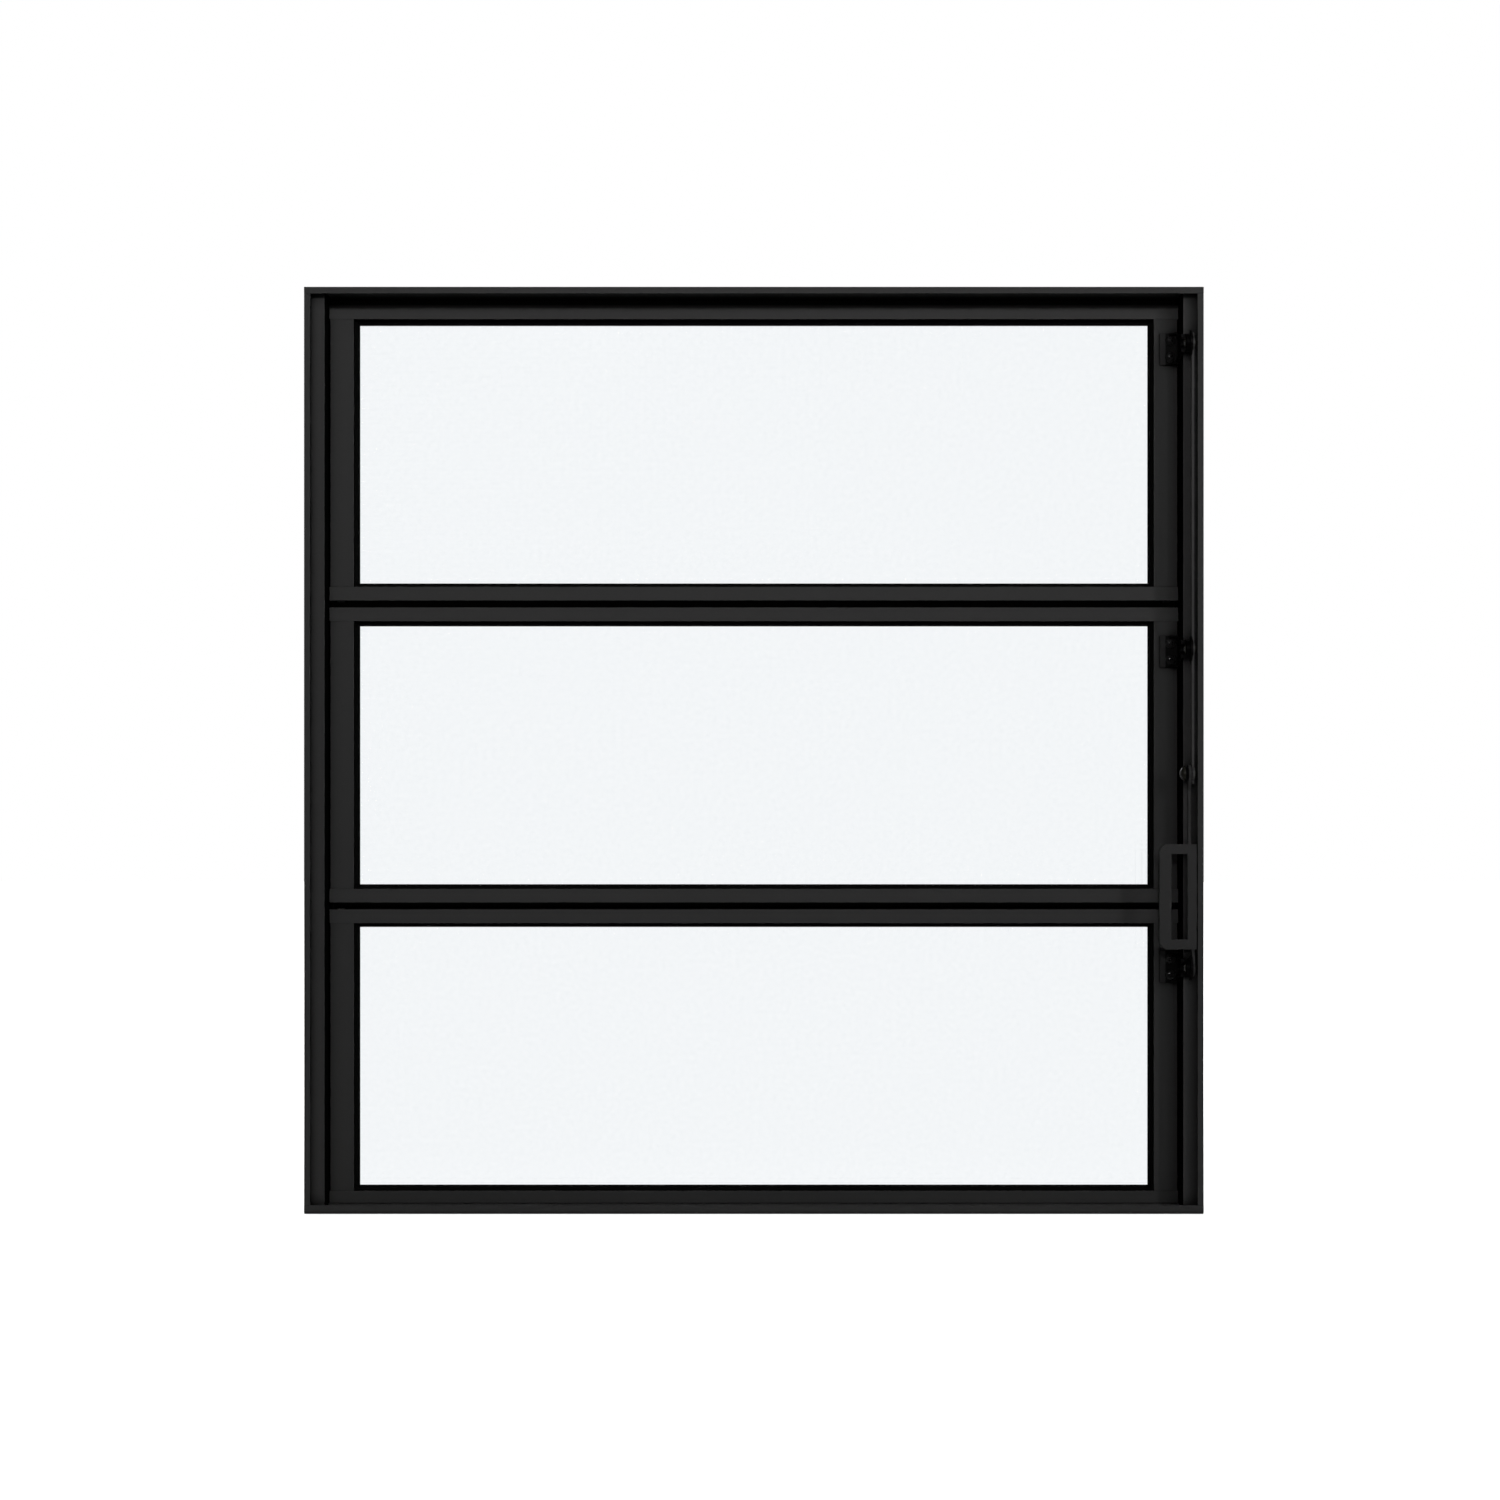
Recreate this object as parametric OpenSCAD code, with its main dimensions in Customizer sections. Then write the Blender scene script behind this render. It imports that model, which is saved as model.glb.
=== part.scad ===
// Horizontally pivoted window: an outer frame, three glazed vanes that tilt
// together, and the bar-and-handle linkage that works them from the room side.
//
// X runs across the window, Y runs from the room side (-) to the outside (+), Z is up.
// The origin is the middle of the sill's bottom face. The vanes are drawn closed.
// "Depth" is always measured back from the frame's front edge; at() turns it into Y.

/* [Frame] */
// Overall width of the outer frame
frame_w = 582; // [480:1:700]
// Overall height of the outer frame
frame_h = 600; // [560:1:660]
// Depth of the frame profiles, from front edge to rear edge
frame_d = 46; // [45:0.5:60]
// Wall thickness of the frame profiles
wall = 1.4; // [1.2:0.1:1.6]
// Height of the front lip on the head
head_lip_h = 4.2; // [3:0.1:6]
// Height of the front lip on the sill
sill_lip_h = 5.9; // [5:0.1:8]
// Radius of the rounded lower edge of the sill
sill_edge_r = 2.4; // [1.5:0.1:2.8]
// Width of the front lip on each jamb
jamb_lip_w = 4; // [2.4:0.1:4.2]
// Width of the jamb box, from outer face to inner face
jamb_w = 12.2; // [12:0.1:14]
// Depth at which the jamb box starts behind the lip
jamb_setback = 7.4; // [7.2:0.1:9]
// Distance between the two fixing holes in the head and in the sill
fixing_spacing = 400; // [200:10:440]
// Radius of the fixing holes
fixing_r = 2.6; // [2:0.1:3.2]

/* [Vanes] */
// Gap between one vane and the next
vane_gap = 4.5; // [3:0.1:6]
// Distance from the top of the frame to the upper vane
vane_head_gap = 7.6; // [6:0.1:12]
// Distance from the bottom of the frame to the lower vane
vane_sill_gap = 3; // [2.8:0.1:3.6]
// Gap between a vane and the jamb on each side
vane_side_gap = 0.7; // [0.6:0.1:1.2]
// Depth of the vanes' front faces
vane_setback = 24; // [24:0.1:25]
// Depth of the vane profiles, front to back
vane_d = 15; // [14.5:0.1:15.2]
// Wall thickness of the vane profiles
vane_wall = 1.3; // [1.1:0.1:1.4]
// Height of the top and bottom rails
rail_h = 9; // [8:0.1:12]
// Width of the stiles
stile_w = 15.4; // [15:0.1:20]
// How far the stiles stand in from the rails' ends
stile_inset = 0.5; // [0:0.1:0.8]
// How far the drip lip hangs below its vane
lip_drop = 6.5; // [5:0.1:7]
// Thickness of the glass
glass_t = 3; // [2.8:0.1:3.2]
// Distance from the vane's face back to the glass
glass_setback = 8; // [7:0.1:8.4]
// Width of rubber showing around the glass
bead_w = 2.8; // [1:0.1:4]

/* [Linkage] */
// Full opening angle of the vanes, degrees
open_angle = 30; // [20:1:30]
// Depth of the vanes' pivots
pivot_setback = 31; // [30.5:0.1:31.5]
// Depth of the pins that join the arms to the bar
pin_setback = 1; // [0.5:0.1:1.2]
// Distance from the top of the upper and middle vanes down to their pins
pin_drop = 28.6; // [26:0.1:34]
// Distance from the top of the lower vane down to its pin
low_pin_drop = 37; // [36:0.1:40]
// Radius of the vanes' pivot pins
pivot_r = 2.5; // [2:0.1:3]
// Radius of the linkage rivets
rivet_r = 1.6; // [1.4:0.1:1.8]
// Radial clearance of every turning pin
running_fit = 0.06; // [0.03:0.01:0.09]
// Thickness of the connecting bar
bar_t = 1.6; // [1.4:0.1:2.2]
// Width of the connecting bar between its eyes, front to back
bar_w = 2.8; // [2.4:0.1:6]
// Radius of the bar's eyes
bar_eye_r = 4.4; // [3.6:0.1:5]
// Radius of the eyes of the arms and of the lever
eye_r = 5.8; // [5:0.1:5.9]

/* [Handle] */
// Width of the handle ring
ring_w = 24.2; // [22:0.1:28]
// Height of the handle ring
ring_h = 68; // [60:0.1:72]
// Plate thickness of the handle ring
ring_t = 2.6; // [2:0.1:2.8]
// How far the ring's front stands proud of the frame
ring_proud = 1.4; // [1.2:0.1:3]
// Border of the ring at its left side
ring_left = 7.9; // [6:0.1:9]
// Border of the ring at its right side
ring_right = 6; // [5:0.1:7]
// Border of the ring at its top and bottom
ring_border = 6.4; // [5:0.1:7]
// Corner cut of the ring at its left corners
ring_chamfer = 3.5; // [1:0.1:5]
// Height from the lower pin up to the ring's lower edge
ring_above_pin = 12; // [11:0.1:15]
// Height from the lower pin up to the rivet that joins lever and bar
lever_reach = 125.8; // [120:0.1:130]

/* [Hidden] */
$fn = 48;
eps = 0.01;

// Frame
half_w = frame_w / 2;
jamb_in = half_w - jamb_w;
port_r = 2.1;
port_wall = 1;
port_depths = [14, 40];
port_x = half_w - wall - port_r - port_wall + 0.2;
screw_r = 1.9;
head_r = 3.5;
fixing_depth = 11;
stop_depth = 40.6;
stop_drop = 12.5;
rear_return = 6;
upstand_depth = 21.1;
upstand_h = 4;
bush_r = 4.1;
bush_flange_r = 5.4;
bush_len = 6;

// Vanes
vane_half = jamb_in - vane_side_gap;
stile_out = vane_half - stile_inset;
vane_h = (frame_h - vane_head_gap - vane_sill_gap - 2 * vane_gap) / 3;
vane_back = vane_setback + vane_d;
chamber_h = 3.2;
chamber_web = 1;
glass_in = 4.8;
stile_box = 10.2;
glass_depth = vane_setback + glass_setback;
glass_half = stile_out - stile_box - 0.6;
gasket_play = 0.1;
vane_port_r = 1.8;
vane_port_x = stile_out - 5.6;
vane_port_depth = vane_back - vane_wall - vane_port_r - port_wall + 0.2;
vane_screw_r = 1.6;
vane_head_r = 2.9;
lip_depth = stop_depth;
seal_gap = 0.15;

// Linkage: the pin stands this far above its pivot, so that the bar is at the
// same depth when the vanes are shut and when they are fully open
pin_rise = (pivot_setback - pin_setback) * tan(open_angle / 2);
bar_x = half_w - 7.8;
eye_x = bar_x - 0.2;
arm_web_x = jamb_in - 2.4;
arm_web_t = 2;
eye_in = bar_x - 3.8;
plate_t = 2.2;
plate_x = vane_half - 12.2;
plate_up = 9.8;
plate_down = 10.8;
arm_screw_x = plate_x + 6.8;
arm_screw_z = [4.9, -5.9];
arm_sink = 0.7;
rib_t = 1.2;
rib_w = 5;
ear_r = 8.4;
ear_t = 1.4;
rivet_head_r = 3;
rivet_head_t = 1.2;
lever_t = 1.8;
washer_r = 4.4;
washer_t = 0.6;
spacer_t = 1.8;
lever_x = bar_x - washer_t - lever_t;
lever_head_r = 4.8;
lever_head_t = 3.8;
bar_end = 6.9;
ring_over = 1.5;

metal = [0.13, 0.13, 0.14];
rubber = [0.03, 0.03, 0.03];
nylon = [0.05, 0.05, 0.05];
pane = [0.85, 0.93, 0.94, 0.6];
steel = [0.55, 0.55, 0.56];

// ---------- Places ----------

// Y of a depth behind the frame's front edge
function at(depth) = depth - frame_d / 2;

// Heights of vane n, counted 1 to 3 from the top
function top_z(n) = frame_h - vane_head_gap - (n - 1) * (vane_h + vane_gap);
function bottom_z(n) = top_z(n) - vane_h;
function pin_z(n) = top_z(n) - (n == 3 ? low_pin_drop : pin_drop);
function pivot_z(n) = pin_z(n) - pin_rise;
lever_z = pin_z(3) + lever_reach;

// ---------- Tools ----------

// Rectangle between two corners
module span(a0, a1, b0, b1) {
    translate([a0, b0]) square([a1 - a0, b1 - b0]);
}

// Extrudes a Y-Z outline from one X to another
module along_x(x0, x1) {
    translate([x0, 0, 0]) rotate([90, 0, 90]) linear_extrude(x1 - x0) children();
}

// Extrudes an X-Y outline from one height to another
module along_z(z0, z1) {
    translate([0, 0, z0]) linear_extrude(z1 - z0) children();
}

// Round rod along X
module rod_x(x0, x1, depth, z, r) {
    translate([x0, at(depth), z]) rotate([0, 90, 0]) cylinder(h = x1 - x0, r = r);
}

// Round rod along Y, from one depth to another
module rod_y(x, depth0, depth1, z, r) {
    translate([x, at(depth1), z]) rotate([90, 0, 0]) cylinder(h = depth1 - depth0, r = r);
}

// The same piece on both sides of the window
module both_sides() {
    children();
    mirror([1, 0, 0]) children();
}

// Open screw port of an extrusion, with its slot towards the middle of the window
module screw_port(x, depth, r, slot) {
    translate([x, at(depth)]) difference() {
        circle(r = r + port_wall);
        circle(r = r);
        span(-r - 2 * port_wall, 0, -slot / 2, slot / 2);
    }
}

// Countersunk screw standing point down, its head's flat face at z = 0
module countersunk_screw(length, r, cap_r) {
    rotate_extrude() polygon([
        [0, 0], [cap_r, 0], [cap_r, -0.2], [r, -1.3],
        [r, -length + 2], [0, -length]
    ]);
}

// Hole for such a screw
module countersink(r, cap_r) {
    rotate_extrude() polygon([[0, eps], [cap_r, eps], [cap_r, -0.2], [r, -1.3], [r, -6], [0, -6]]);
}

// Pan-headed screw along +Y, the underside of its head at the origin
module pan_screw(length, r, cap_r, cap_t) {
    rotate([90, 0, 0]) difference() {
        rotate_extrude() polygon([
            [0, -length], [r - 0.8, -length + 2], [r, -length + 3.5], [r, 0], [cap_r, 0],
            [cap_r, 0.4 * cap_t], [0.85 * cap_r, 0.75 * cap_t], [0.55 * cap_r, cap_t], [0, cap_t]
        ]);
        for (turn = [0, 90]) rotate([0, 0, turn]) translate([0, 0, cap_t]) {
            cube([0.9 * cap_r, 0.8, 1.6], center = true);
        }
    }
}

// ---------- Outer frame ----------

module head_profile() {
    color(metal) difference() {
        union() {
            along_x(-half_w, half_w) {
                span(at(0), at(frame_d), frame_h - wall, frame_h);
                span(at(0), at(wall), frame_h - head_lip_h, frame_h);
            }
            // the stop behind the upper vane and the rear return fit between the jambs
            along_x(-jamb_in + 0.2, jamb_in - 0.2) {
                span(at(stop_depth), at(stop_depth + wall), frame_h - stop_drop, frame_h - wall / 2);
                span(at(frame_d - wall), at(frame_d), frame_h - rear_return, frame_h - wall / 2);
            }
        }
        fixing_holes(frame_h);
        translate([0, 0, frame_h]) corner_screw_places() countersink(screw_r + 0.1, head_r);
    }
}

module sill_profile() {
    color(metal) difference() {
        union() {
            along_x(-half_w, half_w) difference() {
                union() {
                    span(at(0), at(frame_d), 0, wall);
                    span(at(0), at(wall), 0, sill_lip_h);
                }
                difference() {
                    span(at(-1), at(sill_edge_r), -1, sill_edge_r);
                    translate([at(sill_edge_r), sill_edge_r]) circle(r = sill_edge_r);
                }
            }
            // upstand that the lower vane closes against
            along_x(-jamb_in + 0.2, jamb_in - 0.2) {
                span(at(upstand_depth), at(upstand_depth + wall), wall / 2, upstand_h);
            }
        }
        fixing_holes(0);
        mirror([0, 0, 1]) corner_screw_places() countersink(screw_r + 0.1, head_r);
    }
}

module fixing_holes(z) {
    for (side = [-1, 1]) translate([side * fixing_spacing / 2, at(fixing_depth), z]) {
        cylinder(h = 4 * wall, r = fixing_r, center = true);
    }
}

module corner_screw_places() {
    both_sides() for (depth = port_depths) translate([port_x, at(depth), 0]) children();
}

module jamb_section() {
    span(half_w - wall, half_w, at(0), at(frame_d));
    span(half_w - jamb_lip_w, half_w, at(0), at(wall));
    difference() {
        span(jamb_in, half_w, at(jamb_setback), at(frame_d));
        span(jamb_in + wall, half_w - wall, at(jamb_setback + wall), at(frame_d - wall));
    }
    for (depth = port_depths) screw_port(port_x, depth, port_r, 1.8);
}

module jamb() {
    difference() {
        along_z(wall, frame_h - wall) jamb_section();
        // the ends are notched for the lips of the head and the sill
        notch_x = jamb_in - 1;
        notch_w = jamb_w + 2;
        translate([notch_x, at(-1), frame_h - head_lip_h]) cube([notch_w, wall + 1, head_lip_h]);
        translate([notch_x, at(-1), 0]) cube([notch_w, wall + 1, sill_lip_h]);
        for (n = [1:3]) rod_x(jamb_in - 1, jamb_in + wall + 1, pivot_setback, pivot_z(n), bush_r + 0.05);
    }
}

module right_jamb() {
    color(metal) jamb();
}

module left_jamb() {
    color(metal) mirror([1, 0, 0]) jamb();
}

module frame_corner_screws() {
    color(steel) {
        translate([0, 0, frame_h]) corner_screw_places() countersunk_screw(24, screw_r, head_r - 0.05);
        mirror([0, 0, 1]) corner_screw_places() countersunk_screw(24, screw_r, head_r - 0.05);
    }
}

// Flanged bushes that turn the pivots, let into the jambs' inner walls
module pivot_bushes() {
    color(nylon) both_sides() for (n = [1:3]) difference() {
        union() {
            rod_x(jamb_in + 0.1, jamb_in + bush_len, pivot_setback, pivot_z(n), bush_r);
            rod_x(jamb_in + wall + 0.05, jamb_in + wall + 1.2, pivot_setback, pivot_z(n), bush_flange_r);
        }
        rod_x(jamb_in - 1, jamb_in + bush_len + 1, pivot_setback, pivot_z(n), pivot_r + running_fit);
    }
}

module head_seal() {
    low = frame_h - stop_drop + 0.5;
    color(rubber) along_x(-jamb_in + 0.5, jamb_in - 0.5) {
        span(at(vane_back + seal_gap), at(stop_depth), low, top_z(1) - 1);
    }
}

module sill_seal() {
    color(rubber) along_x(-jamb_in + 0.5, jamb_in - 0.5) {
        span(at(upstand_depth + wall), at(vane_setback - seal_gap), wall + 0.1, upstand_h);
    }
}

// ---------- Vanes ----------

// Rail outline with its outer edge at z = 0 and its glazing channel facing down
module rail_section() {
    span(at(vane_setback), at(vane_setback + vane_wall), -rail_h, 0);
    span(at(vane_back - vane_wall), at(vane_back), -rail_h, 0);
    span(at(vane_setback), at(vane_back), -vane_wall, 0);
    span(at(vane_setback), at(vane_back), -chamber_h - chamber_web, -chamber_h);
}

module vane_screw_places() {
    both_sides() translate([vane_port_x, at(vane_port_depth), 0]) children();
}

module top_rail(n) {
    color(metal) translate([0, 0, top_z(n)]) difference() {
        along_x(-vane_half, vane_half) rail_section();
        vane_screw_places() countersink(vane_screw_r + 0.15, vane_head_r);
    }
}

// The lower rail carries the drip lip that overlaps the back of the next vane.
// On the lowest vane the lip is cut short above the sill.
module bottom_rail(n) {
    drop = n == 3 ? 1.2 : lip_drop;
    color(metal) translate([0, 0, bottom_z(n)]) difference() {
        along_x(-vane_half, vane_half) {
            mirror([0, 1]) rail_section();
            span(at(vane_back - vane_wall), at(lip_depth + wall), 0, vane_wall);
            span(at(lip_depth), at(lip_depth + wall), -drop, vane_wall);
        }
        mirror([0, 0, 1]) vane_screw_places() countersink(vane_screw_r + 0.15, vane_head_r);
    }
}

module stile_section() {
    span(stile_out - stile_w, stile_out, at(vane_setback), at(vane_setback + vane_wall));
    span(stile_out - stile_w, stile_out, at(vane_back - vane_wall), at(vane_back));
    span(stile_out - vane_wall, stile_out, at(vane_setback), at(vane_back));
    span(stile_out - stile_box, stile_out - stile_box + chamber_web, at(vane_setback), at(vane_back));
    screw_port(vane_port_x, vane_port_depth, vane_port_r, 1.4);
}

module stile(n) {
    difference() {
        along_z(bottom_z(n) + rail_h, top_z(n) - rail_h) stile_section();
        rod_x(stile_out - 2 * vane_wall, stile_out + 1, pivot_setback, pivot_z(n), pivot_r + 0.02);
    }
}

module right_stile(n) {
    color(metal) difference() {
        stile(n);
        for (dz = arm_screw_z) {
            rod_y(arm_screw_x, vane_setback - 1, vane_setback + 3, pin_z(n) + dz, screw_r + 0.1);
        }
    }
}

module left_stile(n) {
    color(metal) mirror([1, 0, 0]) stile(n);
}

module glass(n) {
    color(pane) translate([-glass_half, at(glass_depth), bottom_z(n) + glass_in]) {
        cube([2 * glass_half, glass_t, vane_h - 2 * glass_in]);
    }
}

// One ring of rubber, wrapped over the edge of the glass and standing out as a bead
module gasket(n) {
    seat_half = stile_out - stile_box - gasket_play;
    seat_in = chamber_h + chamber_web + gasket_play;
    bead_half = stile_out - stile_w - bead_w;
    bead_in = rail_h + bead_w;
    lip_half = stile_out - stile_w + 0.4;
    lip_in = rail_h - 0.4;
    color(rubber) difference() {
        block_y(seat_half, seat_in, vane_setback + vane_wall + gasket_play,
                vane_back - vane_wall - gasket_play, n);
        // the channel's mouth is open in front of the bead
        block_y(lip_half, lip_in, vane_setback, glass_depth - 3, n);
        block_y(bead_half + 0.8, bead_in - 0.8, vane_setback, glass_depth - 1.2, n);
        block_y(bead_half, bead_in, vane_setback, vane_back, n);
        block_y(lip_half, lip_in, glass_depth + glass_t + 1.6, vane_back, n);
        glass(n);
    }
}

// Block as wide as twice half, set in from the vane's top and bottom, between two depths
module block_y(half, inset, depth0, depth1, n) {
    translate([-half, at(depth0), bottom_z(n) + inset]) {
        cube([2 * half, depth1 - depth0, vane_h - 2 * inset]);
    }
}

module vane_corner_screws(n) {
    color(steel) {
        translate([0, 0, top_z(n)]) vane_screw_places() {
            countersunk_screw(20, vane_screw_r, vane_head_r - 0.05);
        }
        translate([0, 0, bottom_z(n)]) mirror([0, 0, 1]) vane_screw_places() {
            countersunk_screw(20, vane_screw_r, vane_head_r - 0.05);
        }
    }
}

// Flanged pins held in the stiles' outer walls
module pivot_pins(n) {
    flange_x = stile_out - vane_wall;
    color(steel) both_sides() {
        rod_x(flange_x - eps, jamb_in + bush_len - 0.4, pivot_setback, pivot_z(n), pivot_r);
        rod_x(flange_x - 1.4, flange_x, pivot_setback, pivot_z(n), 1.6 * pivot_r);
    }
}

module lip_seal(n) {
    z = bottom_z(n) - lip_drop;
    color(rubber) along_x(-vane_half + 1, vane_half - 1) {
        span(at(vane_back + seal_gap), at(lip_depth), z + 0.3, z + 3.2);
    }
}

// ---------- Arms ----------

// Side outline of the arm's web, with the pin at the origin: a broad foot that
// tapers to the round eye
module arm_outline() {
    foot = vane_setback - pin_setback - plate_t;
    circle(r = eye_r);
    polygon([
        [0, eye_r], [foot - 5, 0.72 * plate_up], [foot - 1, plate_up - 0.8], [foot + eps, plate_up - 0.6],
        [foot + eps, -plate_down + 0.6], [foot - 1, -plate_down + 0.8],
        [foot - 5, -0.72 * plate_down], [0, -eye_r]
    ]);
}

// Moulded arm: a screwed plate, a web with raised edges, an eye and a round ear.
// The eye stands to the right of the web, so that the rivet's inner head is clear of it.
module arm(n) {
    web_end = arm_web_x + arm_web_t;
    reach = vane_setback - pin_setback;
    color(nylon) translate([0, at(pin_setback), pin_z(n)]) difference() {
        union() {
            translate([plate_x, reach - plate_t, -plate_down]) {
                cube([stile_out - plate_x, plate_t, plate_up + plate_down]);
            }
            along_x(arm_web_x, web_end) arm_outline();
            along_x(web_end - eps, eye_x) circle(r = eye_r);
            along_x(eye_x - ear_t, eye_x) intersection() {
                circle(r = ear_r);
                span(-ear_r - 1, -0.3 * ear_r, -ear_r, ear_r);
            }
            // ribs from the plate to the web
            for (dz = [plate_up - rib_t, -plate_down]) along_z(dz, dz + rib_t) polygon([
                [arm_web_x + eps, reach - plate_t + eps], [arm_web_x - rib_w, reach - plate_t + eps],
                [arm_web_x + eps, reach - plate_t - rib_w]
            ]);
        }
        // the web is thinner between its edges
        along_x(arm_web_x - 1, arm_web_x + arm_sink) polygon([
            [eye_r + 0.6, 3.6], [reach - plate_t - 5, 5.2], [reach - plate_t - 1.2, 6.6],
            [reach - plate_t - 1.2, -7.4], [reach - plate_t - 5, -5.8], [eye_r + 0.6, -3.6]
        ]);
        // pin bore, and the open seat of the rivet's inner head
        along_x(arm_web_x - 1, eye_x + 1) circle(r = rivet_r + running_fit);
        along_x(arm_web_x - 1, eye_in) {
            circle(r = rivet_head_r + 0.3);
            span(-ear_r - 1, 0, -ear_r, ear_r);
        }
        for (dz = arm_screw_z) {
            translate([arm_screw_x, reach + 1, dz]) rotate([90, 0, 0]) cylinder(h = 6, r = screw_r + 0.1);
        }
    }
}

module arm_screws(n) {
    color(steel) for (dz = arm_screw_z) {
        translate([arm_screw_x, at(vane_setback - plate_t), pin_z(n) + dz]) pan_screw(9, screw_r, 3.4, 2.3);
    }
}

// ---------- Bar, lever and handle ----------

// Slim bar with round ends and an eye at each rivet, from above the top pin down to
// just below the lever's rivet
module link_bar() {
    round_r = bar_w / 2;
    ends = [lever_z - bar_end + round_r, pin_z(1) + bar_end - round_r];
    rivets = [pin_z(1), pin_z(2), lever_z];
    color(metal) difference() {
        along_x(bar_x, bar_x + bar_t) translate([at(pin_setback), 0]) {
            span(-round_r, round_r, ends[0], ends[1]);
            for (z = ends) translate([0, z]) circle(r = round_r);
            for (z = rivets) translate([0, z]) circle(r = bar_eye_r);
        }
        for (z = rivets) rod_x(bar_x - 1, bar_x + bar_t + 1, pin_setback, z, rivet_r + 0.02);
    }
}

// Handle ring: a flat plate with a slot for the fingers and its left corners cut
module ring_plate(z0) {
    x1 = bar_x + bar_t + ring_over;
    x0 = x1 - ring_w;
    z1 = z0 + ring_h;
    c = ring_chamfer;
    translate([0, at(-ring_proud + ring_t), 0]) rotate([90, 0, 0]) linear_extrude(ring_t) difference() {
        polygon([[x0 + c, z0], [x1, z0], [x1, z1], [x0 + c, z1], [x0, z1 - c], [x0, z0 + c]]);
        span(x0 + ring_left, x1 - ring_right, z0 + ring_border, z1 - ring_border);
    }
}

// Lever: the eye at the bar's lower end, the slim strip down to the ring, the ring, and
// the tab below the ring's right side that takes the lower arm's pin
module handle_lever() {
    ring_z = pin_z(3) + ring_above_pin;
    top = ring_z + ring_h;
    join = ring_border / 2;
    front = at(-ring_proud);
    back = front + ring_t;
    pin = at(pin_setback);
    half = bar_w / 2;
    color(metal) difference() {
        union() {
            ring_plate(ring_z);
            along_x(lever_x, lever_x + lever_t) {
                translate([pin, lever_z]) circle(r = eye_r);
                polygon([
                    [pin - eye_r, lever_z], [pin - half, lever_z - 2 * eye_r], [pin - half, top + 8],
                    [front, top], [front, top - join], [back, top - join], [back, top],
                    [pin + half, top + 8], [pin + half, lever_z - 2 * eye_r], [pin + eye_r, lever_z]
                ]);
            }
            along_x(bar_x, bar_x + bar_t) {
                translate([pin, pin_z(3)]) circle(r = eye_r);
                polygon([
                    [front, ring_z + join], [front, ring_z], [pin - eye_r, pin_z(3)],
                    [pin + eye_r, pin_z(3)], [back, ring_z], [back, ring_z + join]
                ]);
            }
        }
        rod_x(lever_x - 1, bar_x + bar_t + 1, pin_setback, lever_z, rivet_r + 0.02);
        rod_x(bar_x - 1, bar_x + bar_t + 1, pin_setback, pin_z(3), rivet_r + 0.02);
    }
}

// Rivet along X from its factory head, r and t in size, to a low round head beyond the bar
module rivet(x0, r, t, z) {
    x1 = bar_x + bar_t;
    translate([0, at(pin_setback), z]) rotate([0, 90, 0]) rotate_extrude() polygon([
        [0, x0], [0.5 * r, x0 + 0.06 * t], [0.8 * r, x0 + 0.3 * t], [0.96 * r, x0 + 0.62 * t],
        [r, x0 + t], [rivet_r, x0 + t], [rivet_r, x1], [rivet_head_r, x1],
        [rivet_head_r, x1 + 0.4 * rivet_head_t], [0.6 * rivet_head_r, x1 + rivet_head_t],
        [0, x1 + rivet_head_t]
    ]);
}

module arm_rivets() {
    color(steel) for (n = [1:3]) rivet(eye_in - rivet_head_t - 0.1, rivet_head_r, rivet_head_t, pin_z(n));
}

// Its tall domed head faces the middle of the window
module lever_rivet() {
    color(steel) rivet(lever_x - spacer_t - lever_head_t, lever_head_r, lever_head_t, lever_z);
}

// A thick spacer under the rivet's head and a thin one between the lever and the bar
module lever_washer() {
    color(nylon) for (x = [[lever_x - spacer_t, lever_x], [lever_x + lever_t, bar_x]]) difference() {
        rod_x(x[0], x[1], pin_setback, lever_z, washer_r);
        rod_x(x[0] - 1, x[1] + 1, pin_setback, lever_z, rivet_r + 0.05);
    }
}

// ---------- Nodes ----------

head_profile();
sill_profile();
left_jamb();
right_jamb();
frame_corner_screws();
pivot_bushes();
head_seal();
sill_seal();
top_rail(1);  // vane_1_top_rail
bottom_rail(1);  // vane_1_bottom_rail
left_stile(1);  // vane_1_left_stile
right_stile(1);  // vane_1_right_stile
glass(1);  // vane_1_glass
gasket(1);  // vane_1_gasket
vane_corner_screws(1);  // vane_1_corner_screws
pivot_pins(1);  // vane_1_pivot_pins
arm(1);  // vane_1_arm
arm_screws(1);  // vane_1_arm_screws
lip_seal(1);  // vane_1_lip_seal
top_rail(2);  // vane_2_top_rail
bottom_rail(2);  // vane_2_bottom_rail
left_stile(2);  // vane_2_left_stile
right_stile(2);  // vane_2_right_stile
glass(2);  // vane_2_glass
gasket(2);  // vane_2_gasket
vane_corner_screws(2);  // vane_2_corner_screws
pivot_pins(2);  // vane_2_pivot_pins
arm(2);  // vane_2_arm
arm_screws(2);  // vane_2_arm_screws
lip_seal(2);  // vane_2_lip_seal
top_rail(3);  // vane_3_top_rail
bottom_rail(3);  // vane_3_bottom_rail
left_stile(3);  // vane_3_left_stile
right_stile(3);  // vane_3_right_stile
glass(3);  // vane_3_glass
gasket(3);  // vane_3_gasket
vane_corner_screws(3);  // vane_3_corner_screws
pivot_pins(3);  // vane_3_pivot_pins
arm(3);  // vane_3_arm
arm_screws(3);  // vane_3_arm_screws
link_bar();
handle_lever();
arm_rivets();
lever_rivet();
lever_washer();
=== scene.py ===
import math
import random

import bmesh
import bpy
from mathutils import Matrix, Vector


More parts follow.
